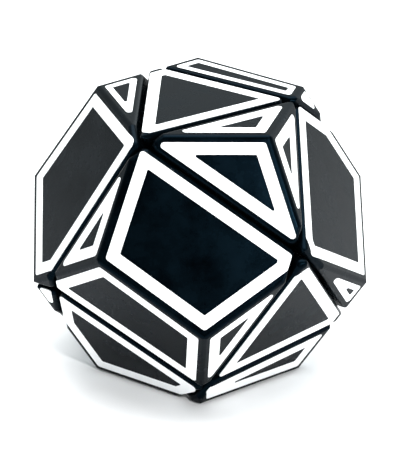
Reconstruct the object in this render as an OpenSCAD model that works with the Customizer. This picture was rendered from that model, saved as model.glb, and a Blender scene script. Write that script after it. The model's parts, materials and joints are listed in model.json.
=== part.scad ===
// Dodecahedron twisty puzzle: a regular dodecahedron cut by four deep planes that cross at one
// point beside its centre. Three planes bound each corner piece and four bound each square
// piece. Four corners are screwed to a spring-loaded core, and tongues under the surface hold
// the other pieces. The half in front of the main plane turns about the main axis. The outside
// was moulded with that half turned by assembly_turn, so the solved shape hides the mechanism.

/* [Dodecahedron] */
// Distance between opposite flat faces
across_flats = 70; // [68:1:90]

/* [Mechanism position] */
// Offset of the mechanism's centre from the dodecahedron's centre, towards the right
offset_x = 3.7; // [0:0.1:4]
// Offset of the mechanism's centre, towards the back
offset_y = 4.1; // [0:0.1:4.5]
// Offset of the mechanism's centre, upwards
offset_z = -0.85; // [-1.5:0.05:0]
// Compass angle of the main turning axis, anticlockwise from the right
axis_azimuth = -58.4; // [-62:0.2:-54]
// Elevation of the main turning axis above the horizontal
axis_elevation = -20.3; // [-24:0.1:-16]
// Angle of the front half's cut planes about the main axis
front_roll = 9; // [4:0.5:14]
// Angle by which the front half stands turned when the dodecahedron is whole
assembly_turn = 61; // [45:1:75]

/* [Piece sizes] */
// Gap between two neighbouring pieces
piece_gap = 0.4; // [0.3:0.05:0.6]
// Wall thickness of the outer shells
shell_wall = 1.6; // [1.2:0.1:2]
// Radius of the round joint between a piece's foot and its shell
split_radius = 25; // [24:0.5:26]
// Clearance between a foot's plug and the shell around it
plug_fit = 0.1; // [0.05:0.05:0.2]
// Radius of the curve that is stood in for by a flat where two cut planes of a piece meet
side_rounding = 1.8; // [1:0.1:2.4]

/* [White outlines] */
// Width of the white outline strips
outline_width = 2.9; // [2:0.1:3.5]
// Width of the strips on small facets
narrow_outline_width = 1.6; // [1.4:0.1:2.5]
// Thickness of the white outline strips
outline_depth = 0.3; // [0.2:0.05:0.5]
// Margin between a strip and an edge of the dodecahedron
edge_margin = 1.7; // [1:0.1:2.5]
// Margin between a strip and a cut plane
cut_margin = 1.5; // [1:0.1:2.5]

/* [Core and fasteners] */
// Outer radius of the core ball
ball_radius = 15.8; // [15:0.1:15.9]
// Radius of the screw shafts
screw_radius = 1.5; // [1.25:0.05:1.5]
// Radius of the screw heads
head_radius = 2.8; // [2.4:0.1:3]
// Mean radius of the spring coils
spring_radius = 2.4; // [2.2:0.1:2.5]
// Diameter of the spring wire
spring_wire = 0.6; // [0.4:0.1:0.7]

/* [Hidden] */
$fn = 96;

// Dodecahedron: the origin is the centre of its bottom face
inradius = across_flats / 2;
face_tilt = atan(2);
pentagon_inradius = inradius * tan(face_tilt / 2);
body_centre = [0, 0, inradius];
big = 200;

// Each face as [angle of its normal from straight up, compass angle, angle of one edge]
FACES = concat(
    [[0, 0, 54]],
    [for (i = [0:4]) [face_tilt, -90 + 72 * i, 36]],
    [for (i = [0:4]) [180 - face_tilt, -54 + 72 * i, 0]],
    [[180, 0, 18]]);

// Layers of the mechanism, as distances from its centre
hub_radius = 5.5;
ball_wall = 2;
collar_fit = 0.1;
collar_height = 1.9;
collar_end = ball_radius - ball_wall - collar_fit;
collar_start = collar_end - collar_height;
collar_radius = 4.6;
arm_radius = 3.2;
arm_hole_start = 7.5;
arm_end = 15.6;
foot_start = 16.2;
tongue_start = 16.4;
tongue_end = 19.6;
groove_end = 20;
seat_radius = 20.6;
spring_end = 24.6;
washer_end = 25.1;
head_end = 27.1;
plug_end = 26.8;

// Tongues, grooves and bores
tongue_reach = 2.2;
tongue_root = 1;
groove_depth = 2.5;
half_gap = piece_gap / 2;
foot_bore = 1.75;
seat_bore = 3.3;
washer_hole = 1.55;
washer_rim = 3;
recess_depth = 1.1;
recess_width = 0.7;
recess_length = 3.6;
spring_clearance = 0.05;
spring_turns = 4.5;
spring_steps = 16;
wire_sides = 6;

// Smallest outline that is drawn, and smallest black field inside one, in square millimetres
min_outline_area = 4;
min_field_area = 0.5;

// A facet is small if no circle of this radius fits between its margins, and it is tiny if no
// circle of the second radius does. A tiny facet's margins are smaller by the growth.
small_facet = 4;
tiny_facet = 1.2;
tiny_growth = 0.6;

// Vectors
function turn_z(v, a) = [v.x * cos(a) - v.y * sin(a), v.x * sin(a) + v.y * cos(a), v.z];
function turn_y(v, a) = [v.x * cos(a) + v.z * sin(a), v.y, v.z * cos(a) - v.x * sin(a)];
function to_part(v) = turn_z(turn_y(v, 90 - axis_elevation), axis_azimuth);

// The four arm axes stand like the corners of a tetrahedron, and each is square to one cut
arm_tilt = acos(-1 / 3);
function side_axis(angle) = to_part(turn_z(turn_y([0, 0, 1], arm_tilt), angle));
centre = body_centre + [offset_x, offset_y, offset_z];
main_axis = to_part([0, 0, 1]);
front_axes = [for (i = [0:2]) side_axis(front_roll + 120 * i)];
rear_axes = [for (i = [0:2]) side_axis(front_roll + assembly_turn + 120 * i)];
arms = concat([main_axis], rear_axes);

// The ball is split by the plane through two arms, so that each half slips over one other arm
ball_split = cross(main_axis, rear_axes[0]) / norm(cross(main_axis, rear_axes[0]));

// A piece is a list of cut planes as [normal, side]. Side 1 is the half that the arm points
// into, where the piece carries a tongue, and side -1 is the half where it has a groove.
function pivot_corner(others) = [for (n = others) [n, -1]];
function free_corner(others) = [for (n = others) [n, 1]];
function square_piece(a, b, c, d) = [[a, 1], [b, 1], [c, -1], [d, -1]];
front_pivot_corner = pivot_corner(front_axes);
upper_free_corner = free_corner([main_axis, front_axes[1], front_axes[2]]);
lower_free_corner = free_corner([main_axis, front_axes[0], front_axes[2]]);
right_free_corner = free_corner([main_axis, front_axes[0], front_axes[1]]);
front_square = square_piece(main_axis, front_axes[2], front_axes[0], front_axes[1]);
right_square = square_piece(main_axis, front_axes[1], front_axes[0], front_axes[2]);
bottom_square = square_piece(main_axis, front_axes[0], front_axes[1], front_axes[2]);
back_free_corner = free_corner(rear_axes);
rear_pivot_corner = pivot_corner([main_axis, rear_axes[1], rear_axes[2]]);
top_pivot_corner = pivot_corner([main_axis, rear_axes[0], rear_axes[2]]);
left_pivot_corner = pivot_corner([main_axis, rear_axes[0], rear_axes[1]]);
left_square = square_piece(rear_axes[1], rear_axes[2], main_axis, rear_axes[0]);
rear_top_square = square_piece(rear_axes[0], rear_axes[1], main_axis, rear_axes[2]);
rear_bottom_square = square_piece(rear_axes[0], rear_axes[2], main_axis, rear_axes[1]);

// Flat outlines: a convex area is a big square clipped by lines [x, y, distance]
function clip(points, line) = [
    for (i = [0:len(points) - 1])
        let (p = points[i],
             q = points[(i + 1) % len(points)],
             a = line.z - line.x * p.x - line.y * p.y,
             b = line.z - line.x * q.x - line.y * q.y)
        for (r = concat(a >= 0 ? [p] : [], a * b < 0 ? [p + (q - p) * a / (a - b)] : [])) r];
function clip_all(points, lines, i = 0) =
    i == len(lines) || len(points) < 3 ? points : clip_all(clip(points, lines[i]), lines, i + 1);
function area(points) = len(points) < 3 ? 0 :
    0.5 * abs([for (i = [0:len(points) - 1])
        let (p = points[i], q = points[(i + 1) % len(points)]) p.x * q.y - q.x * p.y]
        * [for (i = [0:len(points) - 1]) 1]);
big_square = [[-big, -big], [big, -big], [big, big], [-big, big]];

// The part of one face that belongs to a piece, drawn in by the margins and by a further inset
function face_axis(face, v) = turn_z(turn_y(v, face[0]), face[1]);
function edge_lines(face, inset) = [
    for (i = [0:4])
        [cos(face[2] + 72 * i), sin(face[2] + 72 * i), pentagon_inradius - edge_margin - inset]];
function cut_line(face, side, inset) =
    let (x = face_axis(face, [1, 0, 0]) * side[0] * side[1],
         y = face_axis(face, [0, 1, 0]) * side[0] * side[1],
         from_cut = (body_centre + inradius * face_axis(face, [0, 0, 1]) - centre)
             * side[0] * side[1],
         slope = norm([x, y]))
    [-x / slope, -y / slope, from_cut / slope - cut_margin - inset];
function field(piece, face, inset) = clip_all(big_square, concat(
    edge_lines(face, inset),
    [for (side = piece) cut_line(face, side, inset)]));
function fits(piece, face, radius) = area(field(piece, face, radius)) > 0;
function strip_width(piece, face) =
    fits(piece, face, small_facet) ? outline_width : narrow_outline_width;
function strip_inset(piece, face) = fits(piece, face, tiny_facet) ? 0 : -tiny_growth;

// Points +Z along an axis
module aim(axis) {
    rotate([0, acos(axis.z), atan2(axis.y, axis.x)]) children();
}

// Everything further than a distance along an axis, with the mechanism's centre as origin
module beyond(axis, distance) {
    aim(axis) translate([-big / 2, -big / 2, distance]) cube(big);
}

module dodecahedron(r) {
    intersection() {
        cube([big, big, 2 * r], center = true);
        intersection_for (i = [0:4])
            rotate([0, face_tilt, 72 * i - 90]) cube([big, big, 2 * r], center = true);
    }
}

// The flats that blunt a wedge's edges, as [normal, distance] for each pair of its cut planes
function blunting(piece, inset) = [
    for (i = [0:len(piece) - 2])
        for (k = [i + 1:len(piece) - 1])
            let (between = piece[i][0] * piece[i][1] + piece[k][0] * piece[k][1],
                 reach = 2 / norm(between))
            [between / norm(between), (inset + side_rounding) * reach - side_rounding]];

// The wedge of space that belongs to a piece, drawn in by an inset
module wedge(piece, inset) {
    intersection() {
        intersection_for (side = piece) beyond(side[0] * side[1], inset);
        intersection_for (flat = blunting(piece, inset)) beyond(flat[0], flat[1]);
    }
}

// One tongue: a slab that reaches across the cut plane under the neighbouring pieces
module tongue(piece, axis) {
    intersection() {
        difference() {
            sphere(tongue_end);
            sphere(tongue_start);
        }
        beyond(axis, -tongue_reach);
        beyond(-axis, -tongue_root);
        intersection_for (side = [for (s = piece) if (s[0] != axis) s])
            beyond(side[0] * side[1], side[1] > 0 ? half_gap : groove_depth + half_gap);
    }
}

module foot(piece) {
    color("dimgray") translate(centre) difference() {
        union() {
            intersection() {
                sphere(split_radius);
                wedge(piece, half_gap);
            }
            intersection() {
                sphere(plug_end);
                wedge(piece, half_gap + shell_wall + plug_fit);
            }
        }
        sphere(foot_start);
        for (side = piece)
            if (side[1] < 0)
                intersection() {
                    sphere(groove_end);
                    beyond(side[0], -groove_depth);
                }
    }
}

// A foot that other pieces hold by its tongues
module held_foot(piece) {
    foot(piece);
    color("dimgray") translate(centre)
        for (side = piece)
            if (side[1] > 0) tongue(piece, side[0]);
}

// A foot that a screw and a spring hold to the core
module pivot_foot(piece, axis) {
    difference() {
        foot(piece);
        translate(centre) aim(axis) {
            cylinder(r = foot_bore, h = big);
            translate([0, 0, seat_radius]) cylinder(r = seat_bore, h = big);
        }
    }
}

module shell(piece) {
    color([0.05, 0.06, 0.07]) difference() {
        intersection() {
            translate(body_centre) dodecahedron(inradius);
            translate(centre) wedge(piece, half_gap);
        }
        translate(centre) sphere(split_radius);
        intersection() {
            translate(body_centre) dodecahedron(inradius - shell_wall);
            translate(centre) wedge(piece, half_gap + shell_wall);
        }
        outline(piece);
    }
}

// White strips let into the faces. A face too small for a black field gets a plain patch.
module outline(piece) {
    color("white") translate(body_centre)
        for (face = FACES)
            if (area(field(piece, face, 0)) > min_outline_area)
                rotate([0, face[0], face[1]]) translate([0, 0, inradius - outline_depth])
                    linear_extrude(outline_depth) difference() {
                        polygon(field(piece, face, strip_inset(piece, face)));
                        if (area(field(piece, face, strip_width(piece, face))) > min_field_area)
                            polygon(field(piece, face, strip_width(piece, face)));
                    }
}

// A hub with four arms, each with a collar that carries the ball from inside
module core_spider() {
    color("gainsboro") translate(centre) difference() {
        union() {
            sphere(hub_radius);
            for (axis = arms) aim(axis) {
                cylinder(r = arm_radius, h = arm_end);
                intersection() {
                    translate([0, 0, collar_start]) cylinder(r = collar_radius, h = big);
                    sphere(collar_end);
                }
            }
        }
        for (axis = arms)
            aim(axis) translate([0, 0, arm_hole_start]) cylinder(r = screw_radius, h = big);
    }
}

// One half of the hollow ball that the feet slide on
module core_ball(side) {
    color("gainsboro") translate(centre) intersection() {
        difference() {
            sphere(ball_radius);
            sphere(ball_radius - ball_wall);
            for (axis = arms) aim(axis) cylinder(r = arm_radius, h = big);
        }
        beyond(ball_split * side, 0);
    }
}

module arm_screws() {
    color("silver") translate(centre)
        for (axis = arms) aim(axis) difference() {
            union() {
                translate([0, 0, arm_hole_start])
                    cylinder(r = screw_radius, h = head_end - arm_hole_start);
                translate([0, 0, washer_end]) cylinder(r = head_radius, h = head_end - washer_end);
            }
            for (turn = [0, 90])
                translate([0, 0, head_end]) rotate([0, 0, turn])
                    cube([recess_length, recess_width, 2 * recess_depth], center = true);
        }
}

module screw_washers() {
    color("silver") translate(centre)
        for (axis = arms) aim(axis) translate([0, 0, spring_end]) difference() {
            cylinder(r = washer_rim, h = washer_end - spring_end);
            cylinder(r = washer_hole, h = big, center = true);
        }
}

// A coil of round wire between the foot's seat and the washer
module spring(axis) {
    rise = spring_end - seat_radius - spring_wire - 2 * spring_clearance;
    count = spring_turns * spring_steps;
    wire = spring_wire / 2;
    points = [
        for (i = [0:count])
            for (k = [0:wire_sides - 1])
                let (a = 360 * i / spring_steps,
                     b = 360 * k / wire_sides,
                     r = spring_radius + wire * cos(b),
                     z = spring_clearance + wire + rise * i / count)
                [r * cos(a), r * sin(a), z + wire * sin(b)]];
    sides = [
        for (i = [0:count - 1])
            for (k = [0:wire_sides - 1])
                let (m = (k + 1) % wire_sides, p = i * wire_sides)
                [p + k, p + wire_sides + k, p + wire_sides + m, p + m]];
    start_cap = [[for (k = [0:wire_sides - 1]) k]];
    end_cap = [[for (k = [wire_sides - 1:-1:0]) count * wire_sides + k]];
    color("lightgray") translate(centre) aim(axis) translate([0, 0, seat_radius])
        polyhedron(points, concat(sides, start_cap, end_cap));
}

core_spider();
core_ball(1);  // core_ball_upper
core_ball(-1);  // core_ball_lower
arm_screws();
screw_washers();
spring(main_axis);  // front_pivot_spring
spring(rear_axes[0]);  // rear_pivot_spring
spring(rear_axes[1]);  // top_pivot_spring
spring(rear_axes[2]);  // left_pivot_spring

pivot_foot(front_pivot_corner, main_axis);  // front_pivot_corner_foot
pivot_foot(rear_pivot_corner, rear_axes[0]);  // rear_pivot_corner_foot
pivot_foot(top_pivot_corner, rear_axes[1]);  // top_pivot_corner_foot
pivot_foot(left_pivot_corner, rear_axes[2]);  // left_pivot_corner_foot
held_foot(upper_free_corner);  // upper_free_corner_foot
held_foot(lower_free_corner);  // lower_free_corner_foot
held_foot(right_free_corner);  // right_free_corner_foot
held_foot(back_free_corner);  // back_free_corner_foot
held_foot(front_square);  // front_square_foot
held_foot(right_square);  // right_square_foot
held_foot(bottom_square);  // bottom_square_foot
held_foot(left_square);  // left_square_foot
held_foot(rear_top_square);  // rear_top_square_foot
held_foot(rear_bottom_square);  // rear_bottom_square_foot

shell(front_pivot_corner);  // front_pivot_corner_shell
shell(rear_pivot_corner);  // rear_pivot_corner_shell
shell(top_pivot_corner);  // top_pivot_corner_shell
shell(left_pivot_corner);  // left_pivot_corner_shell
shell(upper_free_corner);  // upper_free_corner_shell
shell(lower_free_corner);  // lower_free_corner_shell
shell(right_free_corner);  // right_free_corner_shell
shell(back_free_corner);  // back_free_corner_shell
shell(front_square);  // front_square_shell
shell(right_square);  // right_square_shell
shell(bottom_square);  // bottom_square_shell
shell(left_square);  // left_square_shell
shell(rear_top_square);  // rear_top_square_shell
shell(rear_bottom_square);  // rear_bottom_square_shell

outline(front_pivot_corner);  // front_pivot_corner_outline
outline(rear_pivot_corner);  // rear_pivot_corner_outline
outline(top_pivot_corner);  // top_pivot_corner_outline
outline(left_pivot_corner);  // left_pivot_corner_outline
outline(upper_free_corner);  // upper_free_corner_outline
outline(lower_free_corner);  // lower_free_corner_outline
outline(right_free_corner);  // right_free_corner_outline
outline(back_free_corner);  // back_free_corner_outline
outline(front_square);  // front_square_outline
outline(right_square);  // right_square_outline
outline(bottom_square);  // bottom_square_outline
outline(left_square);  // left_square_outline
outline(rear_top_square);  // rear_top_square_outline
outline(rear_bottom_square);  // rear_bottom_square_outline
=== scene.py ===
"""Dodecahedron twisty puzzle: the looks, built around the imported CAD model."""
import json
import math
from itertools import combinations

import bmesh
import bpy
import numpy as np
from mathutils import Matrix, Vector


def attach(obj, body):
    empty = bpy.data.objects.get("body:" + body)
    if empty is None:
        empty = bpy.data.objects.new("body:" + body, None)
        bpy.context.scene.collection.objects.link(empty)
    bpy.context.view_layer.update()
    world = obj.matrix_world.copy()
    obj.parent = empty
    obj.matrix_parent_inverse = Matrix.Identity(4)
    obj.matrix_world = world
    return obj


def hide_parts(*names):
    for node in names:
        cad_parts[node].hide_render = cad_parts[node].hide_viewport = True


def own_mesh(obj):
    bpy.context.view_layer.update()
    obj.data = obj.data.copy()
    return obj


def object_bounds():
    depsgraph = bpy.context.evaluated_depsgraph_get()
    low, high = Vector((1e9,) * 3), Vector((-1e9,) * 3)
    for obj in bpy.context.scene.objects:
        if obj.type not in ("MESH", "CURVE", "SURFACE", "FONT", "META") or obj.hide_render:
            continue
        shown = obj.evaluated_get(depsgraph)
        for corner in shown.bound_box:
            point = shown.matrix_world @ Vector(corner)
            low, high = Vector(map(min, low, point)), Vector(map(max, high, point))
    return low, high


MM = 0.001
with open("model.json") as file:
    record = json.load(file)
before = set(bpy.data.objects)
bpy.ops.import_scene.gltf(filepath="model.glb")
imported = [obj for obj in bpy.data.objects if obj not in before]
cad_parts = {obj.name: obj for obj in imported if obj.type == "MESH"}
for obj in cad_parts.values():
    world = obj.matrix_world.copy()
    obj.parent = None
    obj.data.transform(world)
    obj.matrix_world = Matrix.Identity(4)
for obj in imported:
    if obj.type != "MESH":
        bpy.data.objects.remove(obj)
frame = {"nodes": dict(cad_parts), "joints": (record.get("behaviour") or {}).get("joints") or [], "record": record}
cad_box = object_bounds()

# The dodecahedron stands on a face, so its centre is half its height above the origin
joints = {joint["name"]: joint for joint in frame["joints"]}
inradius = cad_box[1].z / 2
body_centre = np.array([0.0, 0.0, inradius])
mechanism_centre = np.array(joints["front_half_turn"]["pos_m"])
node_body = {n: body for body, nodes in frame["record"]["behaviour"]["bodies"].items() for n in nodes}
pieces = sorted(n.removesuffix("_shell") for n in frame["nodes"] if n.endswith("_shell"))

# Shells
half_gap = 0.2 * MM
split_radius = 25.0 * MM
shell_wall = 1.6 * MM
strip_rise = 0.05 * MM
side_rounding = 1.8 * MM
rim_rounding = 1.3 * MM
face_rounding = 1.5 * MM
edge_rounding = 0.35 * MM
shell_smooth_angle = 40

# Largest turn between neighbouring flats of a rounding: cut to cut, cut to face, face to face
side_turn = math.radians(26)
rim_turn = math.radians(14)
face_turn = math.radians(8)
corner_turn = math.radians(14)

# Strips
strip_depth = 0.25 * MM
strip_bevel = 0.03 * MM
outer_fillet = 0.8 * MM
inner_fillet = 0.35 * MM
strip_smooth_angle = 60

# Tolerances
plane_tolerance = 0.02 * MM
surface_tolerance = 0.01 * MM
least_side = 0.01 * MM
least_step = 0.005 * MM
least_area = 0.1 * MM * MM
same_point = 0.002 * MM
weld_distance = 0.0005 * MM
flat_angle = math.radians(0.4)
same_plane = 0.9999
same_face = 0.999
least_sine = 1e-6
least_rate = 1e-9
least_length = 1e-7


# ---------------------------------------------------------------- geometry of convex pieces

def mesh_points(mesh):
    points = np.empty(len(mesh.vertices) * 3, np.float32)
    mesh.vertices.foreach_get("co", points)
    return points.reshape(-1, 3).astype(float)


def hull_of(points):
    """A bmesh of the points' convex hull, with its flat sides as single faces."""
    bm = bmesh.new()
    for p in points:
        bm.verts.new(p)
    made = bmesh.ops.convex_hull(bm, input=bm.verts)
    spare = {g for g in made["geom_interior"] + made["geom_unused"] if isinstance(g, bmesh.types.BMVert)}
    bmesh.ops.delete(bm, geom=list(spare), context="VERTS")
    bmesh.ops.dissolve_limit(bm, angle_limit=flat_angle, verts=bm.verts, edges=bm.edges)
    bmesh.ops.recalc_face_normals(bm, faces=bm.faces)
    return bm


def shell_planes(name):
    """The outer planes of a CAD shell as (normal, distance from the origin, is a cut)."""
    points = mesh_points(frame["nodes"][name].data)
    bm = hull_of(points)
    planes = []
    for face in bm.faces:
        normal = np.array(face.normal)
        point = np.array(face.calc_center_median())
        on_face = abs(normal @ (point - body_centre) - inradius) < plane_tolerance
        on_cut = abs(normal @ (point - mechanism_centre) + half_gap) < plane_tolerance
        known = any(normal @ other[0] > same_plane for other in planes)
        if (on_face or on_cut) and not known and face.calc_area() > least_area:
            planes.append((normal, normal @ point, on_cut and not on_face))
    bm.free()
    return planes


def solid_edges(planes):
    """Both ends of each edge of the convex solid inside the planes.

    An end is (number of one plane, number of the other, number of the plane that ends the edge,
    point)."""
    normals = np.array([plane[0] for plane in planes])
    distances = np.array([plane[1] for plane in planes])
    found = []
    for i in range(len(planes)):
        along = np.cross(normals[i], normals)
        length = np.linalg.norm(along, axis=1)
        others = [j for j in range(i + 1, len(planes)) if length[j] > least_sine]
        if not others:
            continue
        along = along[others] / length[others, None]
        from_this = distances[i] * np.cross(normals[others], along)
        from_other = distances[others, None] * np.cross(along, normals[i])
        start = (from_this + from_other) / length[others, None]
        rate = normals @ along.T
        room = distances[:, None] - normals @ start.T
        reach = room / np.where(np.abs(rate) < least_rate, 1.0, rate)
        ahead = np.where(rate > least_rate, reach, np.inf)
        behind = np.where(rate < -least_rate, reach, -np.inf)
        shut_out = ((np.abs(rate) <= least_rate) & (room < -least_rate)).any(axis=0)
        high, low = ahead.min(axis=0), behind.max(axis=0)
        last, first = ahead.argmin(axis=0), behind.argmax(axis=0)
        for k in np.flatnonzero((high - low > least_length) & ~shut_out):
            found.append((i, others[k], last[k], start[k] + along[k] * high[k]))
            found.append((i, others[k], first[k], start[k] + along[k] * low[k]))
    return found


def corners(planes):
    """Corners of the convex solid inside the planes, each with the numbers of three planes there."""
    return [(point, (i, j, k)) for i, j, k, point in solid_edges(planes)]


def angle_between(a, b):
    return math.acos(float(np.clip(a @ b, -1, 1)))


def fan(a, b, largest_turn=corner_turn):
    """Weights of unit vectors a and b for evenly turned directions from a to b, ends left out."""
    angle = angle_between(a, b)
    steps = max(1, math.ceil(angle / largest_turn))
    return [
        (math.sin(angle * (1 - k / steps)) / math.sin(angle), math.sin(angle * k / steps) / math.sin(angle))
        for k in range(1, steps)]


def round_edges(planes, radius, largest_turn, wanted):
    """Adds planes that round the edges between the wanted kinds of neighbouring planes."""
    pairs = {(i, j) for i, j, _, _ in solid_edges(planes)}
    extra = []
    for i, j in sorted(pairs):
        (a, da, a_is_cut), (b, db, b_is_cut) = planes[i], planes[j]
        if wanted(a_is_cut, b_is_cut):
            for wa, wb in fan(a, b, largest_turn):
                extra.append((wa * a + wb * b, wa * (da - radius) + wb * (db - radius) + radius, True))
    return planes + extra


def rounded_hull(planes, radius):
    """The convex solid inside the planes, with every edge and corner rounded."""
    drawn_in = [(n, d - radius, cut) for n, d, cut in planes]
    points = []
    for corner, meeting in corners(drawn_in):
        normals = [drawn_in[i][0] for i in meeting]
        directions = list(normals)
        for a, b in combinations(normals, 2):
            directions += [wa * a + wb * b for wa, wb in fan(a, b)]
        middle = sum(normals)
        directions.append(middle / np.linalg.norm(middle))
        points += [corner + radius * d for d in directions]
    return hull_of(points)


# ---------------------------------------------------------------- objects

def add_object(name, data):
    obj = bpy.data.objects.new(name, data)
    bpy.context.scene.collection.objects.link(obj)
    return obj


def mesh_from(name, bm):
    mesh = bpy.data.meshes.new(name)
    bm.to_mesh(mesh)
    bm.free()
    return mesh


def cut_away(obj, tools):
    """Cuts the tools out of the object and removes them."""
    for tool in tools:
        modifier = obj.modifiers.new("cut", "BOOLEAN")
        modifier.operation = "DIFFERENCE"
        modifier.solver = "EXACT"
        modifier.object = tool
    bpy.context.view_layer.update()
    mesh = bpy.data.meshes.new_from_object(obj.evaluated_get(bpy.context.evaluated_depsgraph_get()))
    obj.modifiers.clear()
    old = obj.data
    obj.data = mesh
    mesh.name = obj.name
    bpy.data.meshes.remove(old)
    for tool in tools:
        bpy.data.objects.remove(tool)


def shade(obj, angle):
    """Smooth shading, broken where faces meet at more than the angle in degrees."""
    obj.data.polygons.foreach_set("use_smooth", [True] * len(obj.data.polygons))
    obj.data.set_sharp_from_angle(angle=math.radians(angle))
    weighted = obj.modifiers.new("even_normals", "WEIGHTED_NORMAL")
    weighted.keep_sharp = True
    weighted.weight = 100


def finish_piece(obj, material, replaced):
    obj.data.materials.clear()
    obj.data.materials.append(material)
    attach(obj, node_body[replaced])
    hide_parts(replaced)


def make_ball(name, radius):
    bm = bmesh.new()
    bmesh.ops.create_icosphere(bm, subdivisions=6, radius=radius)
    bmesh.ops.translate(bm, vec=Vector(mechanism_centre), verts=bm.verts)
    return add_object(name, mesh_from(name, bm))


def make_shell(piece, material):
    """A hollow shell with rounded edges, open towards the core."""
    planes = shell_planes(piece + "_shell")
    outer = [(n, d if cut else d - strip_rise, cut) for n, d, cut in planes]
    outer = round_edges(outer, side_rounding, side_turn, lambda a, b: a and b)
    outer = round_edges(outer, rim_rounding, rim_turn, lambda a, b: a != b)
    outer = round_edges(outer, face_rounding, face_turn, lambda a, b: not a and not b)
    obj = add_object(piece + "_cover", mesh_from(piece, rounded_hull(outer, edge_rounding)))
    inner = [(n, d - shell_wall, cut) for n, d, cut in planes]
    hollow = hull_of([corner for corner, _ in corners(inner)])
    hollow = add_object("hollow", mesh_from("hollow", hollow))
    cut_away(obj, [make_ball("ball", split_radius), hollow])
    shade(obj, shell_smooth_angle)
    finish_piece(obj, material, piece + "_shell")


# ---------------------------------------------------------------- white strips

def top_loops(mesh):
    """The edges of each strip's outer surface: (normal, list of point loops) for each face."""
    bm = bmesh.new()
    bm.from_mesh(mesh)
    bmesh.ops.remove_doubles(bm, verts=bm.verts, dist=same_point)
    groups = []
    for face in bm.faces:
        normal = np.array(face.normal)
        point = np.array(face.verts[0].co)
        if abs(normal @ (point - body_centre) - inradius) > surface_tolerance:
            continue
        for known, faces in groups:
            if known @ normal > same_face:
                faces.append(face)
                break
        else:
            groups.append((normal, [face]))
    found = []
    for normal, faces in groups:
        chosen = set(faces)
        following = {}
        for face in faces:
            for loop in face.loops:
                if sum(1 for f in loop.edge.link_faces if f in chosen) == 1:
                    following[loop.vert] = loop.link_loop_next.vert
        loops = []
        while following:
            start, vert = following.popitem()
            line = [start]
            while vert is not start:
                line.append(vert)
                vert = following.pop(vert)
            loops.append([np.array(v.co) for v in line])
        found.append((normal, loops))
    bm.free()
    return found


def signed_area(points):
    return 0.5 * sum(p[0] * q[1] - p[1] * q[0] for p, q in zip(points, points[1:] + points[:1]))


def outward(p, q):
    """The unit vector to the right of the way from p to q."""
    along = (q - p) / np.linalg.norm(q - p)
    return np.array([along[1], -along[0]])


def drawn_in(points, inset):
    """A convex outline, anticlockwise, drawn in by the inset."""
    result = list(points)
    for p, q in zip(points, points[1:] + points[:1]):
        if np.linalg.norm(q - p) < least_side:
            continue
        normal = outward(p, q)
        limit = normal @ p - inset
        clipped = []
        for a, b in zip(result, result[1:] + result[:1]):
            over_a, over_b = normal @ a - limit, normal @ b - limit
            if over_a <= 0:
                clipped.append(a)
            if over_a * over_b < 0:
                clipped.append(a + (b - a) * over_a / (over_a - over_b))
        result = clipped
    return [p for i, p in enumerate(result) if np.linalg.norm(p - result[i - 1]) > least_step]


def rounded(points, radius):
    """A convex outline with its corners rounded, by less where it is too small for the radius."""
    if signed_area(points) < 0:
        points = points[::-1]
    core = drawn_in(points, radius)
    while len(core) < 3:
        radius /= 2
        core = drawn_in(points, radius)
    result = []
    for i, p in enumerate(core):
        a, b = outward(core[i - 1], p), outward(p, core[(i + 1) % len(core)])
        for wa, wb in [(1, 0)] + fan(a, b) + [(0, 1)]:
            result.append(p + radius * (wa * a + wb * b))
    return result


def make_strip(normal, loops):
    """One white strip as a filled, slightly bevelled outline, in the face's own plane."""
    x_axis = np.cross(normal, [0.0, 1.0, 0.0] if abs(normal[1]) < 0.8 else [1.0, 0.0, 0.0])
    x_axis /= np.linalg.norm(x_axis)
    y_axis = np.cross(normal, x_axis)
    origin = body_centre + normal * (inradius - strip_depth / 2)
    flat = [[np.array([(p - origin) @ x_axis, (p - origin) @ y_axis]) for p in loop] for loop in loops]
    flat.sort(key=lambda line: -abs(signed_area(line)))
    curve = bpy.data.curves.new("strip", "CURVE")
    curve.dimensions = "2D"
    curve.fill_mode = "BOTH"
    curve.extrude = strip_depth / 2 - strip_bevel
    curve.bevel_depth = strip_bevel
    curve.bevel_resolution = 1
    curve.offset = -strip_bevel
    for k, line in enumerate(flat):
        points = rounded(line, outer_fillet if k == 0 else inner_fillet)
        spline = curve.splines.new("POLY")
        spline.points.add(len(points) - 1)
        for q, p in zip(spline.points, points):
            q.co = (p[0], p[1], 0, 1)
        spline.use_cyclic_u = True
    obj = add_object("strip", curve)
    turn = Matrix((x_axis, y_axis, normal)).transposed().to_4x4()
    obj.matrix_world = Matrix.Translation(origin) @ turn
    bpy.context.view_layer.update()
    mesh = bpy.data.meshes.new_from_object(obj.evaluated_get(bpy.context.evaluated_depsgraph_get()))
    mesh.transform(obj.matrix_world)
    bpy.data.objects.remove(obj)
    return mesh


def make_strips(piece, material):
    bm = bmesh.new()
    for normal, loops in top_loops(frame["nodes"][piece + "_outline"].data):
        mesh = make_strip(normal, loops)
        bm.from_mesh(mesh)
        bpy.data.meshes.remove(mesh)
    bmesh.ops.remove_doubles(bm, verts=bm.verts, dist=weld_distance)
    obj = add_object(piece + "_strips", mesh_from(piece + "_strips", bm))
    shade(obj, strip_smooth_angle)
    finish_piece(obj, material, piece + "_outline")


# ---------------------------------------------------------------- materials

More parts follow.
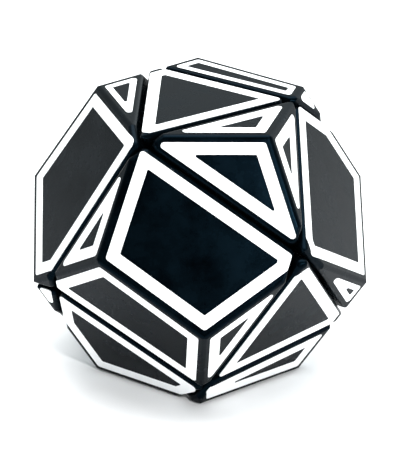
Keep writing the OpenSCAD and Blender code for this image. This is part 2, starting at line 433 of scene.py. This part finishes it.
class Nodes:
    """A short way to write a material's node tree."""

    def __init__(self, name):
        self.material = bpy.data.materials.new(name)
        self.material.use_nodes = True
        self.tree = self.material.node_tree
        self.shader = self.tree.nodes["Principled BSDF"]
        self.place = self.add("ShaderNodeTexCoord").outputs["Object"]

    def add(self, kind, **settings):
        node = self.tree.nodes.new(kind)
        for key, value in settings.items():
            setattr(node, key, value)
        return node

    def join(self, source, target):
        self.tree.links.new(source, target)

    def noise(self, scale, detail=3, roughness=0.5, stretch=None):
        node = self.add("ShaderNodeTexNoise")
        node.inputs["Scale"].default_value = scale
        node.inputs["Detail"].default_value = detail
        node.inputs["Roughness"].default_value = roughness
        source = self.place
        if stretch:
            mapping = self.add("ShaderNodeMapping")
            mapping.inputs["Scale"].default_value = stretch
            self.join(source, mapping.inputs["Vector"])
            source = mapping.outputs["Vector"]
        self.join(source, node.inputs["Vector"])
        return node.outputs["Fac"]

    def spread(self, source, low, high, from_low=0.3, from_high=0.7):
        """Maps a noise to the range from low to high."""
        node = self.add("ShaderNodeMapRange")
        node.inputs["From Min"].default_value = from_low
        node.inputs["From Max"].default_value = from_high
        node.inputs["To Min"].default_value = low
        node.inputs["To Max"].default_value = high
        self.join(source, node.inputs["Value"])
        return node.outputs["Result"]

    def ramp(self, source, stops):
        node = self.add("ShaderNodeValToRGB")
        while len(node.color_ramp.elements) < len(stops):
            node.color_ramp.elements.new(0.5)
        for element, (place, colour) in zip(node.color_ramp.elements, stops):
            element.position = place
            element.color = (*colour, 1)
        self.join(source, node.inputs["Fac"])
        return node.outputs["Color"]

    def bump(self, source, strength, distance, under=None):
        node = self.add("ShaderNodeBump")
        node.inputs["Strength"].default_value = strength
        node.inputs["Distance"].default_value = distance
        self.join(source, node.inputs["Height"])
        if under:
            self.join(under, node.inputs["Normal"])
        return node.outputs["Normal"]

    def set(self, **values):
        for key, value in values.items():
            self.shader.inputs[key.replace("_", " ")].default_value = value

    def link(self, **sources):
        for key, source in sources.items():
            self.join(source, self.shader.inputs[key.replace("_", " ")])


def black_plastic():
    """Glossy black moulded plastic with handling marks and a soft ripple; its navy base colour and blue reflection
    tint are painted light, standing in for bluish studio light.
    """
    m = Nodes("glossy_black_plastic")
    marks = m.noise(110, detail=7, roughness=0.65)
    ripple = m.noise(500, detail=2)
    grain = m.noise(9000, detail=1)
    m.link(
        # The mottling from the marks is random tone; the navy end of this ramp is painted blue light.
        Base_Color=m.ramp(marks, [(0.3, (0.0001, 0.0002, 0.0003)), (0.7, (0.0007, 0.0018, 0.0027))]),
        Roughness=m.spread(marks, 0.17, 0.34),
        Normal=m.bump(grain, 0.12, 0.00002, under=m.bump(ripple, 0.1, 0.00005)))
    # The Specular Tint colours every reflection blue: a painted reflection colour in place of bluish light.
    m.set(IOR=1.5, Specular_IOR_Level=0.05, Specular_Tint=(0.2, 0.6, 1.0, 1.0))
    return m.material


def white_plastic():
    """Smooth white strip with very slight unevenness."""
    m = Nodes("white_strip_plastic")
    tint = m.noise(120, detail=4)
    grain = m.noise(6000, detail=1)
    m.link(
        Base_Color=m.ramp(tint, [(0.3, (0.86, 0.88, 0.89)), (0.7, (0.9, 0.915, 0.925))]),
        Roughness=m.spread(tint, 0.3, 0.4),
        Normal=m.bump(grain, 0.05, 0.00001))
    m.set(IOR=1.46)
    return m.material


def satin_plastic(name, low, high, roughness):
    """Unpolished moulded plastic of a foot or of the core."""
    m = Nodes(name)
    tint = m.noise(150, detail=4)
    grain = m.noise(7000, detail=2)
    m.link(
        Base_Color=m.ramp(tint, [(0.3, low), (0.7, high)]),
        Roughness=m.spread(tint, roughness - 0.06, roughness + 0.06),
        Normal=m.bump(grain, 0.25, 0.00003))
    return m.material


def steel(name, colour, roughness, stretch):
    m = Nodes(name)
    streaks = m.noise(900, detail=4, stretch=stretch)
    dark = tuple(0.8 * c for c in colour)
    m.link(
        Base_Color=m.ramp(streaks, [(0.3, dark), (0.7, colour)]),
        Roughness=m.spread(streaks, roughness - 0.07, roughness + 0.07),
        Normal=m.bump(streaks, 0.15, 0.00002))
    m.set(Metallic=1.0)
    return m.material


black = black_plastic()
white = white_plastic()
foot_plastic = satin_plastic("foot_plastic", (0.02, 0.02, 0.022), (0.032, 0.032, 0.035), 0.42)
core_plastic = satin_plastic("core_nylon", (0.72, 0.71, 0.67), (0.8, 0.79, 0.75), 0.45)
screw_steel = steel("zinc_plated_steel", (0.62, 0.62, 0.63), 0.3, (1, 1, 6))
spring_steel = steel("drawn_spring_wire", (0.5, 0.5, 0.51), 0.28, (4, 4, 1))

for piece in pieces:
    make_shell(piece, black)
    make_strips(piece, white)

inside = {
    "foot": foot_plastic, "spider": core_plastic, "upper": core_plastic, "lower": core_plastic,
    "screws": screw_steel, "washers": screw_steel, "spring": spring_steel}
for name, obj in frame["nodes"].items():
    ending = name.rsplit("_", 1)[1]
    if ending in inside:
        obj.data.materials.clear()
        obj.data.materials.append(inside[ending])

# Each corner spring gets a mesh of its own; its points' heights along the corner's float axis are measured but not
# used
for side in ("front", "rear", "top", "left"):
    joint = joints[side + "_pivot_float"]
    axis = np.array(joint["axis"])
    heights = (mesh_points(frame["nodes"][side + "_pivot_spring"].data) - mechanism_centre) @ axis
    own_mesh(frame["nodes"][side + "_pivot_spring"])


# ---------------------------------------------------------------- stage, light and camera

floor_radius = 4.0
floor_mesh = bmesh.new()
bmesh.ops.create_circle(floor_mesh, cap_ends=True, segments=64, radius=floor_radius)
floor = add_object("floor", mesh_from("floor", floor_mesh))
floor_paint = Nodes("pale_floor")
floor_paint.link(Base_Color=floor_paint.ramp(
    floor_paint.noise(3, detail=2), [(0.3, (0.895, 0.9, 0.905)), (0.7, (0.9, 0.905, 0.91))]))
floor_paint.set(Roughness=0.9)
floor.data.materials.append(floor_paint.material)

# The camera stands in front and above, and looks at a point beside the puzzle's centre
distance = 0.783
azimuth = math.radians(2.397)
elevation = math.radians(25.94)
roll = math.radians(1.08)
aim = Vector(body_centre) + Vector((0.22, -0.81, -1.65)) * MM
back = Vector((
    -math.sin(azimuth) * math.cos(elevation),
    -math.cos(azimuth) * math.cos(elevation),
    math.sin(elevation)))
camera = add_object("camera", bpy.data.cameras.new("camera"))
camera.data.sensor_width = 36
camera.data.lens = 241.3
camera.data.clip_start = 0.01
looking = (-back).to_track_quat("-Z", "Y").to_matrix().to_4x4()
camera.matrix_world = (
    Matrix.Translation(aim + back * distance) @ looking @ Matrix.Rotation(roll, 4, "Z"))
bpy.context.scene.camera = camera


def make_world():
    """Grey studio, dim on the side where the camera stands and lighter at the right rear."""
    world = bpy.data.worlds.new("studio")
    world.use_nodes = True
    bpy.context.scene.world = world
    tree = world.node_tree
    background = tree.nodes["Background"]
    place = tree.nodes.new("ShaderNodeTexCoord")
    level = None
    for direction, start, end, change in studio_lights:
        dot = tree.nodes.new("ShaderNodeVectorMath")
        dot.operation = "DOT_PRODUCT"
        dot.inputs[1].default_value = direction
        tree.links.new(place.outputs["Generated"], dot.inputs[0])
        spread = tree.nodes.new("ShaderNodeMapRange")
        spread.interpolation_type = "SMOOTHSTEP"
        spread.inputs["From Min"].default_value = start
        spread.inputs["From Max"].default_value = end
        spread.inputs["To Max"].default_value = change
        tree.links.new(dot.outputs["Value"], spread.inputs["Value"])
        total = tree.nodes.new("ShaderNodeMath")
        total.inputs[0].default_value = studio_level
        if level:
            tree.links.new(level, total.inputs[0])
        tree.links.new(spread.outputs["Result"], total.inputs[1])
        level = total.outputs["Value"]
    tree.links.new(level, background.inputs["Strength"])
    background.inputs["Color"].default_value = studio_colour


def make_softbox(name, place, size, power):
    """A square soft light of a size in metres and a power in watts, turned to the puzzle."""
    data = bpy.data.lights.new(name, "AREA")
    data.shape = "SQUARE"
    data.size = size
    data.energy = power
    lamp = add_object(name, data)
    lamp.location = place
    lamp.rotation_mode = "QUATERNION"
    lamp.rotation_quaternion = (Vector(body_centre) - Vector(place)).to_track_quat("-Z", "Y")


# Studio light: least strength, then (direction, rise starts, rise ends, rise in strength)
studio_level = 0.1
studio_colour = (0.9, 0.98, 1, 1)
studio_lights = (
    ((0.0, 1.0, 0.0), -0.3, 0.3, 0.9),
    ((0.74, 0.67, 0.0), 0.5, 0.95, 1.0))
make_world()
make_softbox("overhead_softbox", place=(0.0, 0.05, 0.75), size=0.7, power=12)
make_softbox("front_card", place=(0.07, -0.205, 0.15), size=0.03, power=0.35)
make_softbox("left_softbox", place=(-0.84, -0.69, 0.12), size=0.2, power=2.0)
make_softbox("right_softbox", place=(0.84, -0.69, 0.12), size=0.2, power=2.0)
bpy.context.scene.view_settings.view_transform = "Standard"
